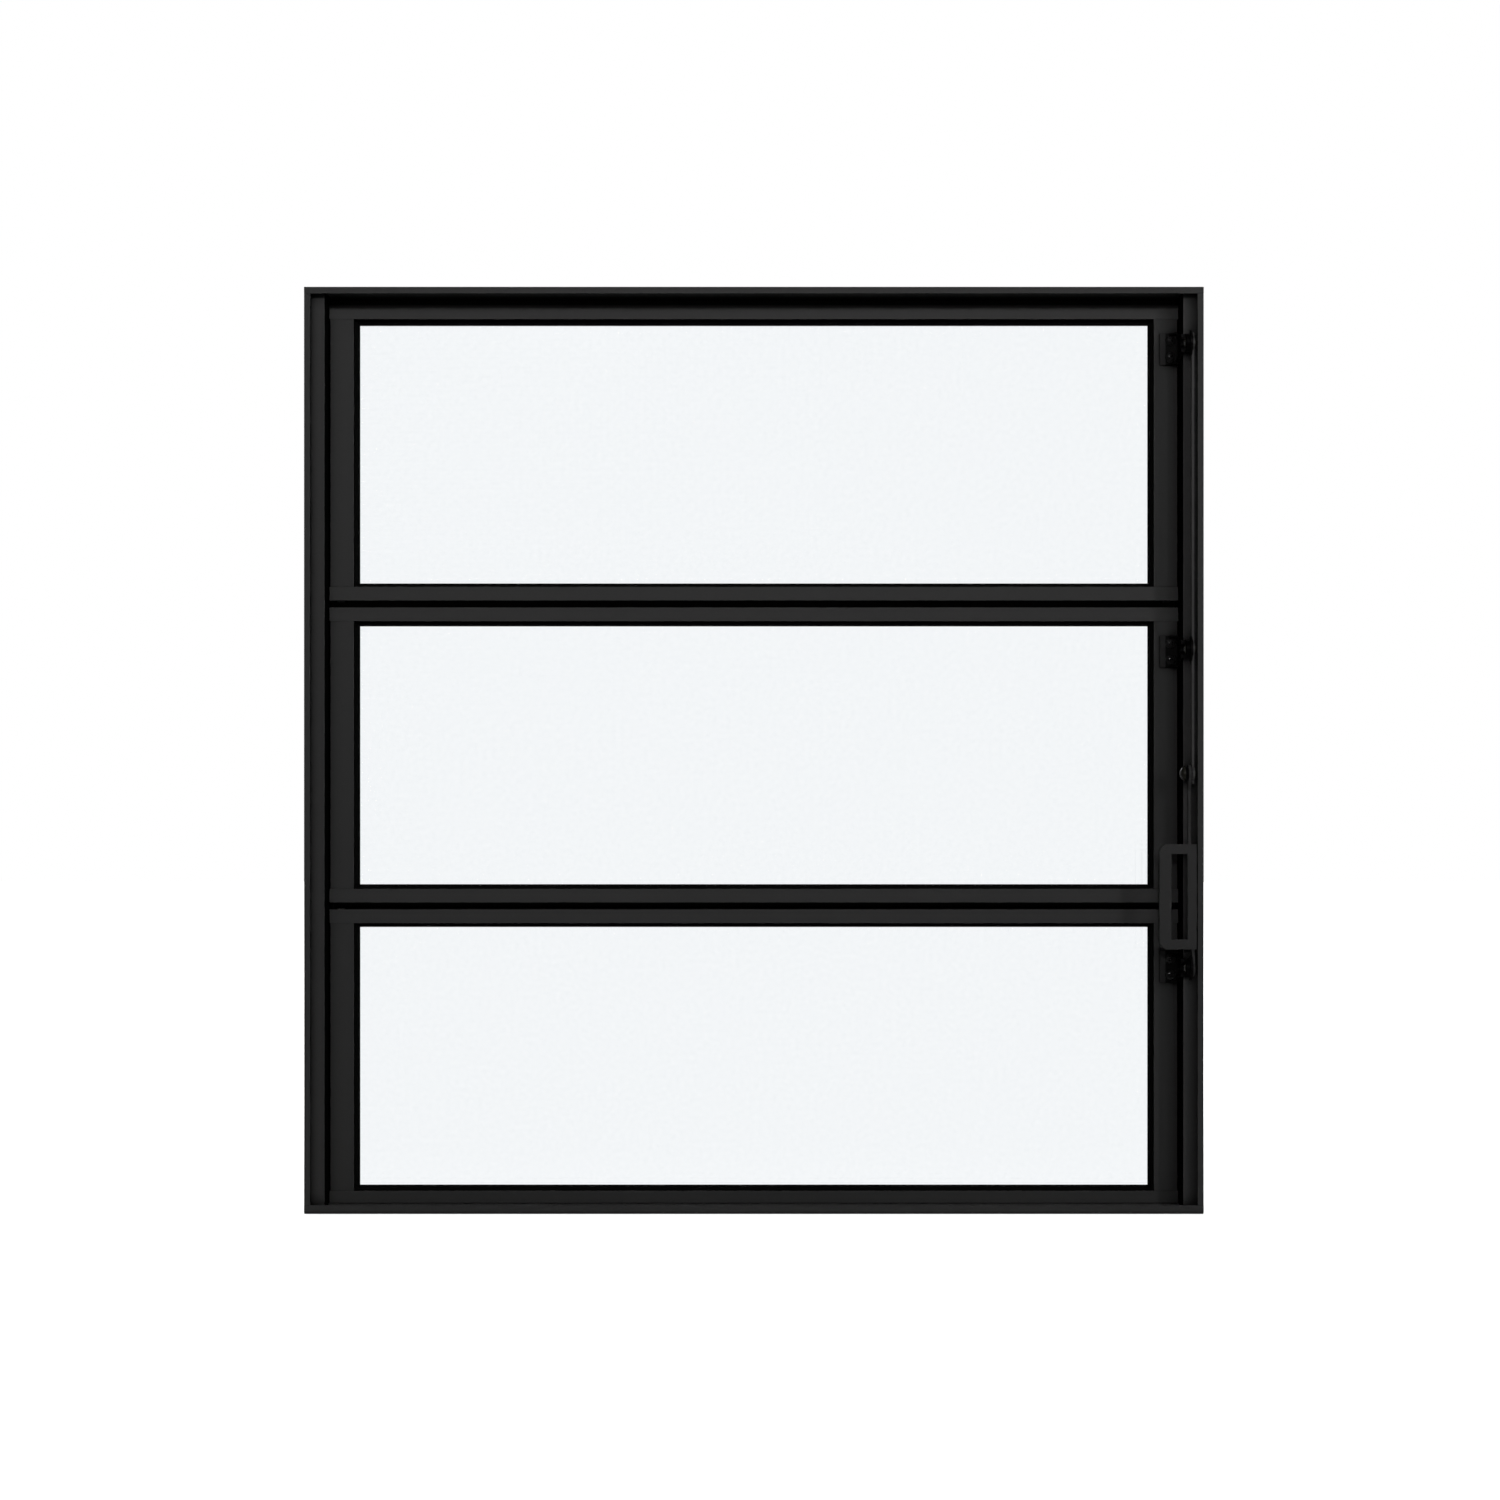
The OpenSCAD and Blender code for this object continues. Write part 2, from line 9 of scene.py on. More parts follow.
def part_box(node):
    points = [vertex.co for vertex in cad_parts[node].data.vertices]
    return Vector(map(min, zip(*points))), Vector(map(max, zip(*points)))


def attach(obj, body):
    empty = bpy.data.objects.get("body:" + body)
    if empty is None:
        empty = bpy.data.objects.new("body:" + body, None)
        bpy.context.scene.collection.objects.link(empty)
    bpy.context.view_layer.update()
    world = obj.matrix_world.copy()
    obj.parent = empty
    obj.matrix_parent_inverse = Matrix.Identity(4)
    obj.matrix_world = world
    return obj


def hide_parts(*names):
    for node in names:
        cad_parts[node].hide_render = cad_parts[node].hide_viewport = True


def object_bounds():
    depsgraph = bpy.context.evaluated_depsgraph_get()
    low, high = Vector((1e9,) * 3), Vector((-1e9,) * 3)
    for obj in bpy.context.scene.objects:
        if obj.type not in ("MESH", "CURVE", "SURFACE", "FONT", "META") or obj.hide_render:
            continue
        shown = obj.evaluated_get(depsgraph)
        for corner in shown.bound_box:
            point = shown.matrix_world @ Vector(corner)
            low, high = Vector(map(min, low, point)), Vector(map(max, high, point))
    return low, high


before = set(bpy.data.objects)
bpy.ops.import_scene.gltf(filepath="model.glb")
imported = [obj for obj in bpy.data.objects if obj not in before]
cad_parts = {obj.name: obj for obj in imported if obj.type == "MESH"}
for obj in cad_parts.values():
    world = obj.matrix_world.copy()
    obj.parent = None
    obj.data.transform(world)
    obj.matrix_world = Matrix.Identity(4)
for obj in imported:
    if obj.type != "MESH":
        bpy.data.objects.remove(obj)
cad_box = [list(corner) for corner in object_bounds()]

MM = 0.001
VANES = (1, 2, 3)
rng = random.Random(7)


# ---------------------------------------------------------------- node helpers

class Nodes:
    """A material's node tree, written as short calls."""

    def __init__(self, name):
        self.material = bpy.data.materials.new(name)
        self.material.use_nodes = True
        self.tree = self.material.node_tree
        self.shader = self.tree.nodes["Principled BSDF"]
        self.where = self.add("ShaderNodeTexCoord").outputs["Object"]

    def add(self, kind, inputs=None, **settings):
        node = self.tree.nodes.new(kind)
        for key, value in settings.items():
            setattr(node, key, value)
        for key, value in (inputs or {}).items():
            if isinstance(value, bpy.types.NodeSocket):
                self.tree.links.new(value, node.inputs[key])
            else:
                node.inputs[key].default_value = value
        return node

    def noise(self, scale, detail=2.0, stretch=None, rough=0.5):
        where = self.where
        if stretch:
            where = self.add("ShaderNodeMapping", {"Vector": where, "Scale": stretch}).outputs[0]
        wanted = {"Vector": where, "Scale": scale, "Detail": detail, "Roughness": rough}
        return self.add("ShaderNodeTexNoise", wanted).outputs["Fac"]

    def remap(self, value, low, high, from_low=0.0, from_high=1.0):
        wanted = {"Value": value, "From Min": from_low, "From Max": from_high,
                  "To Min": low, "To Max": high}
        return self.add("ShaderNodeMapRange", wanted).outputs["Result"]

    def math(self, operation, first, second):
        return self.add("ShaderNodeMath", {0: first, 1: second}, operation=operation).outputs[0]

    def blend(self, factor, first, second):
        mixer = self.add("ShaderNodeMix", data_type="RGBA")
        for key, value in (("Factor_Float", factor), ("A_Color", first), ("B_Color", second)):
            socket = next(s for s in mixer.inputs if s.identifier == key)
            if isinstance(value, bpy.types.NodeSocket):
                self.tree.links.new(value, socket)
            else:
                socket.default_value = value
        return next(s for s in mixer.outputs if s.identifier == "Result_Color")

    def bump(self, height, strength, distance, below=None):
        wanted = {"Height": height, "Strength": strength, "Distance": distance}
        if below is not None:
            wanted["Normal"] = below
        return self.add("ShaderNodeBump", wanted).outputs["Normal"]

    def edges(self, radius, low, high):
        """1 on convex and concave edges, 0 on flat faces."""
        soft = self.add("ShaderNodeBevel", {"Radius": radius}, samples=4).outputs[0]
        plain = self.add("ShaderNodeNewGeometry").outputs["Normal"]
        cosine = self.add("ShaderNodeVectorMath", {0: soft, 1: plain}, operation="DOT_PRODUCT")
        return self.remap(cosine.outputs["Value"], 1.0, 0.0, low, high)

    def sheen(self, level, times=1.0):
        """Specular level that fades out where the face is seen edge-on."""
        facing = self.add("ShaderNodeLayerWeight", {"Blend": 0.5}).outputs["Facing"]
        fading = self.remap(facing, level, 0.0, 0.35, 0.8)
        self.set(Specular_IOR_Level=level)
        self.link(self.math("MULTIPLY", fading, times), "Specular IOR Level")

    def occlusion_mask(self, reach, low, high, least=0.03):
        """1 on open faces, close to 0 in joints and narrow gaps, from ambient occlusion; it is used
        to paint shade there.
        """
        seen = self.add("ShaderNodeAmbientOcclusion", {"Distance": reach}, samples=6).outputs["AO"]
        return self.remap(seen, least, 1.0, low, high)

    def outer_walls(self):
        """0 on the walls that face the window's middle from either side, 1 elsewhere; the jamb's
        inner walls are painted black as shade with it.
        """
        across = self.add("ShaderNodeSeparateXYZ", {0: self.where}).outputs["X"]
        normal = self.add("ShaderNodeNewGeometry").outputs["True Normal"]
        turned = self.add("ShaderNodeSeparateXYZ", {0: normal}).outputs["X"]
        inward = self.math("MULTIPLY", self.math("SIGN", across, 0.0), turned)
        return self.remap(inward, 0.06, 1.0, -0.8, -0.5)

    def link(self, value, socket):
        self.tree.links.new(value, self.shader.inputs[socket])

    def set(self, **values):
        for key, value in values.items():
            self.shader.inputs[key.replace("_", " ")].default_value = value


def grey(level):
    return (level, level, level, 1.0)


def satin_metal(name, level, along, rough=0.56, shade_walls=False):
    """Black satin-finished aluminium: fine powder grain and faint draw lines along the profile.
    Edges are made paler, partly as wear and partly as a painted highlight; joints, recesses and
    narrow gaps get painted shade from ambient occlusion. When asked, the sides towards the window's
    middle are painted black as shade."""
    n = Nodes(name)
    grain = n.noise(2600, 3.0)
    cloud = n.noise(9, 3.0)
    lines = n.noise(1, 2.0, stretch=[5 if axis == along else 1900 for axis in "xyz"])
    # edges: partly real wear, partly a painted highlight where edges catch the light
    worn_and_lit_edges = n.edges(0.35 * MM, 0.93, 0.995)
    patches = n.remap(n.noise(160, 4.0), 0.0, 1.0, 0.42, 0.62)
    wear_and_highlight = n.math("MULTIPLY", worn_and_lit_edges, patches)
    cool = (level * 0.82, level * 0.83, level * 0.86, 1)
    warm = (level * 1.16, level * 1.15, level * 1.12, 1)
    base = n.blend(cloud, cool, warm)
    dust = n.blend(n.remap(grain, 0.0, 0.35, 0.45, 0.8), base, grey(level * 1.5))
    # painted shade: joints between parts darkened by ambient occlusion within 0.9 mm
    joint_shade = n.occlusion_mask(0.9 * MM, 0.3, 0.8)
    # painted shade: recesses and narrow gaps darkened by ambient occlusion within 12 mm, weaker on
    # the rails
    least, most = (0.5, 0.6) if along == "x" else (0.03, 0.74)
    painted_shade_mask = n.math("MULTIPLY", n.occlusion_mask(12 * MM, 0.12, most, least), joint_shade)
    # painted shade: the walls facing the window's middle turn black
    if shade_walls:
        painted_shade_mask = n.math("MULTIPLY", painted_shade_mask, n.outer_walls())
    # where shade is painted, the colour comes down to near black
    coat = n.blend(painted_shade_mask, grey(0.0004), dust)
    # paler edges, wear plus painted highlight, kept out of the painted joint shade
    painted_paler = n.math("MULTIPLY", n.math("MULTIPLY", wear_and_highlight, 0.5), joint_shade)
    n.link(n.blend(painted_paler, coat, grey(level * 2.2)), "Base Color")
    uneven = n.math("ADD", n.remap(cloud, rough - 0.04, rough + 0.05), n.remap(lines, -0.04, 0.04))
    n.link(n.math("SUBTRACT", uneven, n.math("MULTIPLY", wear_and_highlight, 0.1)), "Roughness")
    low = n.bump(lines, 0.06, 0.02 * MM)
    n.link(n.bump(grain, 0.16, 0.03 * MM, low), "Normal")
    # reflection is dimmed too where shade is painted
    n.sheen(0.12, painted_shade_mask)
    return n.material


def rubber_material():
    """Matt black sealing rubber."""
    n = Nodes("epdm_rubber")
    grain = n.noise(1800, 3.0)
    cloud = n.noise(30, 3.0)
    n.link(n.blend(cloud, grey(0.0005), grey(0.0012)), "Base Color")
    n.link(n.remap(cloud, 0.6, 0.75), "Roughness")
    n.link(n.bump(grain, 0.25, 0.03 * MM), "Normal")
    n.sheen(0.03)
    return n.material


def nylon_material(name, painted_paler=None):
    """Black nylon. Where an X position is given, the part left of it is painted a dull grey:
    painted light for the lit strip of the arm's foot plate, whose rest stays black where the arm's
    shadow falls.
    """
    n = Nodes(name)
    grain = n.noise(900, 4.0)
    cloud = n.noise(60, 2.0)
    black = n.blend(cloud, grey(0.001), grey(0.0024))
    if painted_paler is not None:
        across = n.add("ShaderNodeSeparateXYZ", {0: n.where}).outputs["X"]
        # painted light: the lit strip along the foot plate's left edge turns grey
        black = n.blend(n.remap(across, 0.0, 1.0, painted_paler, painted_paler - 0.7 * MM), black, grey(0.018))
    n.link(black, "Base Color")
    n.link(n.remap(grain, 0.28, 0.38), "Roughness")
    n.link(n.bump(grain, 0.1, 0.03 * MM), "Normal")
    n.sheen(0.03)
    return n.material


def plated_material(name, dark, pale, rough, metallic=False):
    """Small turned hardware: bare plating where metallic, else a black finish."""
    n = Nodes(name)
    cloud = n.noise(300, 3.0)
    scratch = n.noise(1, 3.0, stretch=[260, 2600, 2600])
    n.link(n.blend(cloud, dark, pale), "Base Color")
    uneven = n.remap(cloud, rough - 0.05, rough + 0.08)
    n.link(n.math("ADD", uneven, n.remap(scratch, -0.05, 0.05)), "Roughness")
    n.link(n.bump(scratch, 0.12, 0.02 * MM), "Normal")
    if metallic:
        n.set(Metallic=1.0)
    else:
        n.sheen(0.14)
    return n.material


def glass_material():
    """Clear glass with a faint cool tint and a slight ripple; the pattern itself is in the mesh."""
    n = Nodes("patterned_glass")
    ripple = n.noise(420, 2.0)
    n.link(n.bump(ripple, 0.08, 0.05 * MM), "Normal")
    n.link(n.remap(n.noise(60, 2.0), 0.01, 0.05), "Roughness")
    tint = n.remap(n.noise(330, 2.0), 0.0, 1.0, 0.3, 0.7)
    n.link(n.blend(tint, (0.916, 0.942, 0.960, 1), (0.946, 0.968, 0.984, 1)), "Base Color")
    n.set(Transmission_Weight=1.0, IOR=1.5)
    return n.material


METAL_LEVEL = 0.0205
# width of the painted lit strip along the left edge of the arms' foot plates
ARM_LIT_STRIP = 3.9 * MM
LOOKS = {
    "x": satin_metal("satin_black_along_x", METAL_LEVEL, "x"),
    "z": satin_metal("satin_black_along_z", METAL_LEVEL * 0.93, "z"),
    # the jamb's inner walls are painted black as shade
    "jamb": satin_metal("satin_black_jamb", METAL_LEVEL, "z", shade_walls=True),
    "link": satin_metal("satin_black_plate", METAL_LEVEL * 0.8, "z", 0.52),
    "bar": satin_metal("satin_black_bar", METAL_LEVEL * 1.3, "z", 0.52),
    "rubber": rubber_material(),
    "nylon": nylon_material("black_moulded_nylon"),
    # the arms' foot plates get a painted lit strip along their left edge
    "arm": nylon_material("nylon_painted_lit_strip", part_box("vane_1_arm")[0].x + ARM_LIT_STRIP),
    "black_screw": plated_material("black_zinc", grey(0.003), grey(0.008), 0.25),
    "steel": plated_material("dull_zinc", (0.1, 0.103, 0.11, 1), (0.19, 0.19, 0.185, 1), 0.42,
                             metallic=True),
    "rivet": plated_material("burnished_rivet", (0.005, 0.0048, 0.0036, 1),
                             (0.011, 0.0105, 0.0075, 1), 0.2),
    "glass": glass_material(),
}


# ---------------------------------------------------------------- mesh helpers

def new_piece(name, mesh, look, body, nodes, smooth_angle):
    """An object that rides on the body and stands in for the CAD nodes."""
    piece = bpy.data.objects.new(name, mesh)
    bpy.context.scene.collection.objects.link(piece)
    mesh.materials.clear()
    mesh.materials.append(LOOKS[look])
    shade(mesh, smooth_angle)
    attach(piece, body)
    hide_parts(*nodes)
    return piece


def shade(mesh, angle):
    """Smooth faces with sharp edges above the angle."""
    bm = bmesh.new()
    bm.from_mesh(mesh)
    for face in bm.faces:
        face.smooth = True
    limit = math.radians(angle)
    for edge in bm.edges:
        edge.smooth = len(edge.link_faces) == 2 and edge.calc_face_angle(0) < limit
    bm.to_mesh(mesh)
    bm.free()


def lathe(profile, segments=32):
    """Closed solid turned about Z from (radius, height) points that start and end on the axis."""
    bm = bmesh.new()
    turn = [2 * math.pi * i / segments for i in range(segments)]
    rings = []
    for radius, height in profile:
        if radius <= 0:
            points = [(0, 0, height)]
        else:
            points = [(radius * math.cos(a), radius * math.sin(a), height) for a in turn]
        rings.append([bm.verts.new(point) for point in points])
    for low, high in zip(rings, rings[1:]):
        for i in range(segments):
            j = (i + 1) % segments
            corners = [low[i % len(low)], low[j % len(low)],
                       high[j % len(high)], high[i % len(high)]]
            bm.faces.new(list(dict.fromkeys(corners)))
    bmesh.ops.recalc_face_normals(bm, faces=bm.faces)
    mesh = bpy.data.meshes.new("turned")
    bm.to_mesh(mesh)
    bm.free()
    return mesh


def cross_cutter(reach, width, top, depth):
    """Tapered four-armed driver point that is cut into a screw head."""
    outline = []
    for quarter in range(4):
        turn = Matrix.Rotation(quarter * math.pi / 2, 2)
        for x, y in ((reach, -width / 2), (reach, width / 2), (width / 2, width / 2)):
            outline.append(turn @ Vector((x, y)))
    bm = bmesh.new()
    upper = [bm.verts.new((p.x * 1.25, p.y * 1.25, top + depth * 0.6)) for p in outline]
    lower = [bm.verts.new((p.x * 0.45, p.y * 0.45, top - depth)) for p in outline]
    bm.faces.new(upper)
    bm.faces.new(lower)
    for i in range(len(outline)):
        j = (i + 1) % len(outline)
        bm.faces.new([upper[i], upper[j], lower[j], lower[i]])
    bmesh.ops.recalc_face_normals(bm, faces=bm.faces)
    mesh = bpy.data.meshes.new("cutter")
    bm.to_mesh(mesh)
    bm.free()
    return mesh


def cut(mesh, cutter):
    """The mesh with the cutter taken away."""
    kept = bpy.data.objects.new("kept", mesh)
    tool = bpy.data.objects.new("tool", cutter)
    for item in (kept, tool):
        bpy.context.scene.collection.objects.link(item)
    boolean = kept.modifiers.new("cut", "BOOLEAN")
    boolean.operation, boolean.solver, boolean.object = "DIFFERENCE", "EXACT", tool
    graph = bpy.context.evaluated_depsgraph_get()
    done = bpy.data.meshes.new_from_object(kept.evaluated_get(graph))
    bpy.data.objects.remove(kept)
    bpy.data.objects.remove(tool)
    return done


def gather(parts):
    """One mesh from (mesh, matrix) pairs."""
    bm = bmesh.new()
    for mesh, matrix in parts:
        one = mesh.copy()
        one.transform(matrix)
        bm.from_mesh(one)
        bpy.data.meshes.remove(one)
    mesh = bpy.data.meshes.new("gathered")
    bm.to_mesh(mesh)
    bm.free()
    return mesh


def extrude_section(points, low, high):
    """Closed prism along X from (y, z) points."""
    bm = bmesh.new()
    ends = [[bm.verts.new((x, y, z)) for y, z in points] for x in (low, high)]
    for end in ends:
        bm.faces.new(end)
    for i in range(len(points)):
        j = (i + 1) % len(points)
        bm.faces.new([ends[0][i], ends[0][j], ends[1][j], ends[1][i]])
    bmesh.ops.recalc_face_normals(bm, faces=bm.faces)
    mesh = bpy.data.meshes.new("strip")
    bm.to_mesh(mesh)
    bm.free()
    return mesh


def arc(radius, start, end, steps):
    """Points on a circle round the origin, angles in degrees."""
    turn = [math.radians(start + (end - start) * i / steps) for i in range(steps + 1)]
    return [(radius * math.cos(a), radius * math.sin(a)) for a in turn]


def islands(node):
    """Lowest and highest corners of each separate solid of a CAD node."""
    bm = bmesh.new()
    bm.from_mesh(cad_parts[node].data)
    bmesh.ops.remove_doubles(bm, verts=bm.verts, dist=1e-6)
    left, found = set(bm.verts), []
    while left:
        queue = [left.pop()]
        corners = list(queue)
        while queue:
            for edge in queue.pop().link_edges:
                for vert in edge.verts:
                    if vert in left:
                        left.discard(vert)
                        queue.append(vert)
                        corners.append(vert)
        low = Vector([min(v.co[i] for v in corners) for i in range(3)])
        high = Vector([max(v.co[i] for v in corners) for i in range(3)])
        found.append((low, high))
    bm.free()
    return sorted(found, key=lambda pair: tuple(round(c, 5) for c in pair[0]))


# ---------------------------------------------------------------- carried-over nodes

def dress(node, look, edge):
    """Material and softened edges for a CAD node that stays."""
    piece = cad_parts[node]
    piece.data.materials.clear()
    piece.data.materials.append(LOOKS[look])
    weld = piece.modifiers.new("weld", "WELD")
    weld.merge_threshold = 1e-6
    bevel = piece.modifiers.new("edges", "BEVEL")
    bevel.width = edge
    bevel.segments = 2
    bevel.limit_method = "ANGLE"
    bevel.angle_limit = math.radians(35)
    bevel.harden_normals = True
    normals = piece.modifiers.new("normals", "WEIGHTED_NORMAL")
    normals.keep_sharp = True


for node in ("head_profile", "sill_profile"):
    dress(node, "x", 0.3 * MM)
for node in ("left_jamb", "right_jamb"):
    dress(node, "jamb", 0.3 * MM)
for n in VANES:
    for rail in ("top_rail", "bottom_rail"):
        dress(f"vane_{n}_{rail}", "x", 0.25 * MM)
    for side in ("left_stile", "right_stile"):
        dress(f"vane_{n}_{side}", "z", 0.25 * MM)
    dress(f"vane_{n}_pivot_pins", "black_screw", 0.15 * MM)
    dress(f"vane_{n}_arm", "arm", 0.25 * MM)
dress("pivot_bushes", "nylon", 0.1 * MM)
dress("link_bar", "bar", 0.3 * MM)
dress("handle_lever", "link", 0.4 * MM)
dress("lever_washer", "nylon", 0.25 * MM)


# ---------------------------------------------------------------- panes

# one pillow of the pattern, its height, and how many faces it has each way
CELL = (4.15 * MM, 3.06 * MM)
RELIEF = 0.4 * MM
STEPS = 3


def pane(n):
    """Rolled glass: smooth towards the room, a lattice of small pillows outside."""
    low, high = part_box(f"vane_{n}_glass")
    cells = [round((high.x - low.x) / CELL[0]), round((high.z - low.z) / CELL[1])]
    count = [STEPS * c for c in cells]
    tall = {(i, k): rng.uniform(0.75, 1.0) for i in range(cells[0]) for k in range(cells[1])}
    bm = bmesh.new()
    back = []
    for i in range(count[0] + 1):
        row = []
        for k in range(count[1] + 1):
            x = low.x + (high.x - low.x) * i / count[0]
            z = low.z + (high.z - low.z) * k / count[1]
            sunk = 1.0
            if i % STEPS and k % STEPS:
                sunk = 1.0 - tall[i // STEPS, k // STEPS]
                x += rng.uniform(-0.18, 0.18) * MM
                z += rng.uniform(-0.14, 0.14) * MM
            elif 0 < i < count[0] and 0 < k < count[1] and (i % STEPS or k % STEPS):
                sunk = 1.0 - rng.uniform(0.1, 0.3)
            row.append(bm.verts.new((x, high.y - RELIEF * sunk, z)))
        back.append(row)
    for i in range(count[0]):
        for k in range(count[1]):
            bm.faces.new([back[i][k], back[i][k + 1], back[i + 1][k + 1], back[i + 1][k]])
    rim = [row[0] for row in back] + back[-1][1:]
    rim += [row[-1] for row in back[-2::-1]] + back[0][-2:0:-1]
    front = [bm.verts.new((v.co.x, low.y, v.co.z)) for v in rim]
    for i in range(len(rim)):
        j = (i + 1) % len(rim)
        bm.faces.new([rim[i], rim[j], front[j], front[i]])
    bm.faces.new(front)
    bmesh.ops.recalc_face_normals(bm, faces=bm.faces)
    mesh = bpy.data.meshes.new("pane")
    bm.to_mesh(mesh)
    bm.free()
    piece = new_piece(f"pane_{n}", mesh, "glass", f"vane_{n}", [f"vane_{n}_glass"], 50)
    return piece


for n in VANES:
    pane(n)


# ---------------------------------------------------------------- rubber

BEAD = 2.8 * MM


def gasket(n):
    """Glazing rubber: one section swept round the pane and mitred at the corners."""
    low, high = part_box(f"vane_{n}_gasket")
    glass_low, glass_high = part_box(f"vane_{n}_glass")
    mid = (low + high) / 2
    # from the rubber's outer edge to the metal's edge and to the pane's edge, as (across, up)
    metal = (high.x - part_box(f"vane_{n}_right_stile")[0].x,
             high.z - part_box(f"vane_{n}_top_rail")[0].z)
    seat = (high.x - glass_high.x, high.z - glass_high.z)
    front, back = glass_low.y, glass_high.y
    lap = 0.02 * MM

    # (within, extra, depth): within is seat or a share of metal, extra is added to it
    section = [(0, 0, low.y), (0.9, 0, low.y), (0.97, 0, low.y + 0.3 * MM)]
    section += [(0.97, 0, front - 3.5 * MM), (1, 0, front - 3.1 * MM)]
    for a, d in arc(1, 90, 4, 7):
        section.append((1, a * (BEAD - 0.35 * MM), front - 0.2 * MM - d * 2.8 * MM))
    section += [(1, BEAD, front - 0.35 * MM), (1, BEAD, front + lap), (seat, 0, front + lap)]
    section += [(seat, 0, back - lap), (1, BEAD, back - lap), (1, BEAD, back + 0.3 * MM)]
    for a, d in arc(1, 0, 90, 5):
        section.append((1, a * (BEAD - 0.3 * MM), back + 0.3 * MM + d * 1.2 * MM))
    section += [(0.97, 0, back + 1.6 * MM), (0.97, 0, high.y), (0, 0, high.y)]

    bm = bmesh.new()
    rings = []
    for within, extra, depth in section:
        if within is seat:
            in_x, in_z = seat
        else:
            in_x, in_z = within * metal[0] + extra, within * metal[1] + extra
        half_x, half_z = (high.x - low.x) / 2 - in_x, (high.z - low.z) / 2 - in_z
        rings.append([bm.verts.new((mid.x + u * half_x, depth, mid.z + v * half_z))
                      for u, v in ((-1, -1), (1, -1), (1, 1), (-1, 1))])
    for i in range(len(rings)):
        one, two = rings[i], rings[(i + 1) % len(rings)]
        for c in range(4):
            d = (c + 1) % 4
            bm.faces.new([one[c], one[d], two[d], two[c]])
    bmesh.ops.recalc_face_normals(bm, faces=bm.faces)
    mesh = bpy.data.meshes.new("gasket")
    bm.to_mesh(mesh)
    bm.free()
    piece = new_piece(f"glazing_rubber_{n}", mesh, "rubber", f"vane_{n}", [f"vane_{n}_gasket"], 35)
    return piece


for n in VANES:
    gasket(n)


def ribbed_strip(node, body, name):
    """Sealing strip with soft ribs on its room side."""
    low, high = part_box(node)
    ribs = 3
    pitch = (high.z - low.z) / ribs
    tall = 0.45 * (high.y - low.y)
    points = [(high.y, low.z), (high.y, high.z)]
    for r in range(ribs):
        top = high.z - r * pitch
        points.append((low.y + tall, top))
        for y, z in arc(1, 60, -60, 6):
            points.append((low.y + tall * 2 * (1 - y), top - (1 - z) * pitch / 2))
        points.append((low.y + tall, top - pitch + 0.02 * MM))
    mesh = extrude_section(points, low.x, high.x)
    piece = new_piece(name, mesh, "rubber", body, [node], 50)
    return piece


ribbed_strip("head_seal", "frame", "head_rubber")
ribbed_strip("sill_seal", "frame", "sill_rubber")
for n in (1, 2):
    ribbed_strip(f"vane_{n}_lip_seal", f"vane_{n}", f"lip_rubber_{n}")


# ---------------------------------------------------------------- screws and rivets

# a screw's core, as a share of its thread's radius
CORE = 0.84


def thread(radius, start, end, pitch):
    """Zigzag of a cut thread whose turns are counted from start down to end, lowest point first."""
    points = []
    for i in range(int((start - end) / pitch)):
        points += [(radius * CORE, start - i * pitch), (radius, start - (i + 0.5) * pitch)]
    return points[::-1]


def pan_screw(radius, cap_r, cap_t, length):
    """Domed screw along Z, head up, the underside of its head at z = 0."""
    profile = [(0, -length), (radius * 0.3, -length + 1.2 * MM)]
    profile += thread(radius, -1.4 * MM, -length + 1.6 * MM, 1.2 * MM)
    profile += [(radius * CORE, 0), (cap_r - 0.15 * MM, 0)]
    profile += [(cap_r, 0.15 * MM), (cap_r, 0.3 * cap_t)]
    for r, z in arc(1, 10, 84, 8):
        profile.append((cap_r * r, 0.3 * cap_t + 0.7 * cap_t * z))
    profile.append((0, cap_t))
    return cut(lathe(profile), cross_cutter(0.56 * cap_r, 0.9 * MM, cap_t, 1.5 * MM))


def flat_screw(radius, cap_r, length):
    """Countersunk screw along Z, head up, the flat of its head at z = 0."""
    profile = [(0, -length), (radius * 0.3, -length + 1.4 * MM)]
    profile += thread(radius, -2.2 * MM, -length + 2 * MM, 1.3 * MM)
    profile += [(radius * 0.9, -1.4 * MM), (cap_r, -0.25 * MM), (cap_r, -0.1 * MM)]
    profile += [(cap_r - 0.12 * MM, 0), (0, 0)]
    return cut(lathe(profile), cross_cutter(0.62 * cap_r, 0.95 * MM, 0, 1.1 * MM))


def places(node, half_way=None):
    """A matrix for each screw of the node, at the top of its head and with +Z out of it.

    The heads face up above half_way and down below it, or the room where it is not given."""
    found = []
    for low, high in islands(node):
        mid = (low + high) / 2
        spin = Matrix.Rotation(rng.uniform(0, math.pi / 2), 4, "Z")
        if half_way is None:
            head, turn = Vector((mid.x, low.y, mid.z)), Matrix.Rotation(math.pi / 2, 4, "X")
        elif mid.z > half_way:
            head, turn = Vector((mid.x, mid.y, high.z)), Matrix.Identity(4)
        else:
            head, turn = Vector((mid.x, mid.y, low.z)), Matrix.Rotation(math.pi, 4, "X")
        found.append(Matrix.Translation(head) @ turn @ spin)
    return found


frame_low, frame_high = (Vector(corner) for corner in cad_box)
frame_screw = flat_screw(1.9 * MM, 3.45 * MM, 24 * MM)
mesh = gather([(frame_screw, m) for m in places("frame_corner_screws", frame_high.z / 2)])
piece = new_piece("frame_screws", mesh, "steel", "frame", ["frame_corner_screws"], 30)

